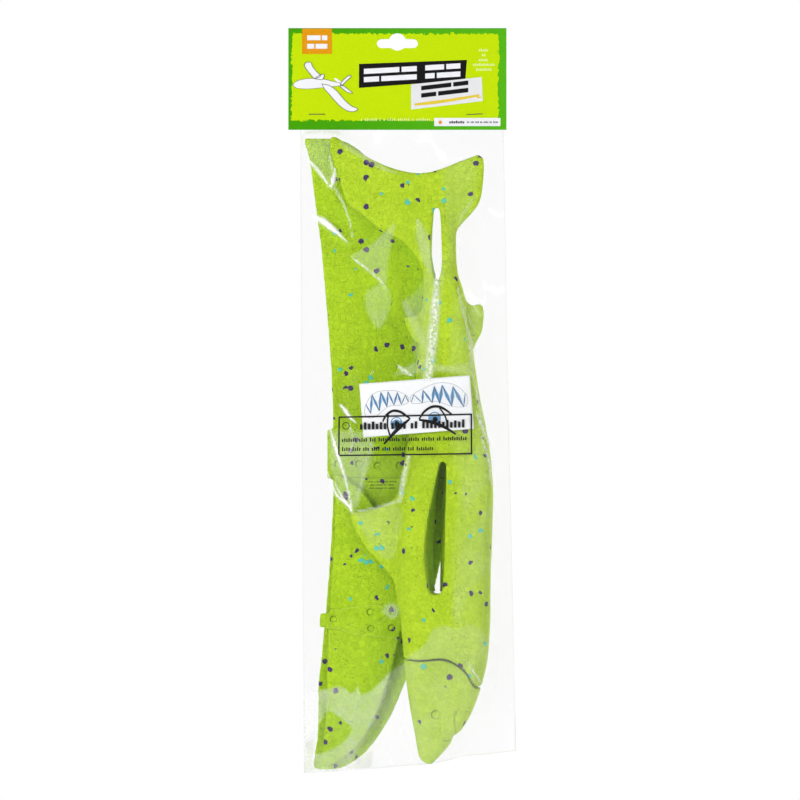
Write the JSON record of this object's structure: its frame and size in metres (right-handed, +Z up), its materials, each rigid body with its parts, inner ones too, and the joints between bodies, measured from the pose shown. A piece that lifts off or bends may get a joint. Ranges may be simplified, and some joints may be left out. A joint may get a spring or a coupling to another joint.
{
  "type": "toy airplane",
  "caption": "Shark-shaped foam toy glider kit: body with fins, swept wing, tailplane and sticker sheet in a clear bag under a folded hang card.",
  "frame": {"origin": "where a display peg bears, at the top of the round part of the card's hang hole, midway between the card's two panels", "axes": "+Z up along the pack's length, -Y out of the front of the card, +X to the right seen from the front"},
  "size_m": [0.167, 0.058, 0.5474],
  "materials": {
    "foam": "lime expanded bead foam with purple and teal beads",
    "nose_foam": "softer lime bead foam",
    "wing_foam": "lime expanded bead foam with purple and teal beads",
    "tail_foam": "lime expanded bead foam with purple and teal beads",
    "ballast": "plain turned slug",
    "paper": "white release paper",
    "eye_print": "printed vinyl sticker",
    "mouth_print": "printed vinyl sticker",
    "card": "coated printed card",
    "wire": "bright staple wire",
    "film": "clear glossy film"
  },
  "bodies": {
    "pack": {"header_card": "card", "staple_left": "wire", "staple_right": "wire", "polybag": "film"},
    "glider_body": {"fuselage": "foam", "nose_block": "nose_foam", "nose_weight": "ballast"},
    "wing": {"main_wing": "wing_foam"},
    "tail": {"tailplane": "tail_foam"},
    "sticker_sheet": {"sticker_backing": "paper", "eye_sticker_left": "eye_print", "eye_sticker_right": "eye_print", "mouth_sticker_left": "mouth_print", "mouth_sticker_right": "mouth_print"}
  },
  "joints": [
    {"name": "body_play", "type": "slide", "parent": "pack", "child": "glider_body", "axis": [0, 0, 1], "range_m": [0, 0.002]},
    {"name": "wing_play", "type": "slide", "parent": "pack", "child": "wing", "axis": [0, 0, 1], "range_m": [0, 0.002]},
    {"name": "tailplane_play", "type": "slide", "parent": "pack", "child": "tail", "axis": [0, 0, 1], "range_m": [0, 0.09]},
    {"name": "sticker_sheet_slip", "type": "slide", "parent": "pack", "child": "sticker_sheet", "axis": [0, 0, 1], "range_m": [-0.015, 0.004]}
  ]
}
